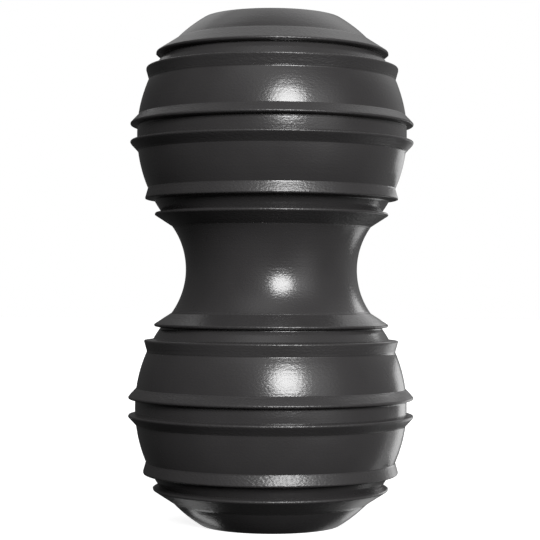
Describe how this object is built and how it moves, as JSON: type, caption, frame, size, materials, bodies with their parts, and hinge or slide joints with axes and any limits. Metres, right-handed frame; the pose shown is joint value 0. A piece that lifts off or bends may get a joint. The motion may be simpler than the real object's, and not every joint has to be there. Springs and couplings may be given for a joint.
{
  "type": "rubber chew toy",
  "caption": "Solid rubber dumbbell chew toy with grooved lips round both bulbs for scraping teeth, a narrow waist to grip and a hole along its axis.",
  "frame": {"origin": "on the axis, in the plane of the flat end that the toy stands on", "axes": "+Z along the toy's axis, from the end it stands on to the other; X and Y are free, because the toy is the same all the way round"},
  "size_m": [0.0708, 0.0708, 0.1261],
  "materials": {
    "rubber_body": "satin black moulded rubber with a fine grain"
  },
  "bodies": {
    "root": {"rubber_body": "rubber_body"}
  },
  "joints": []
}
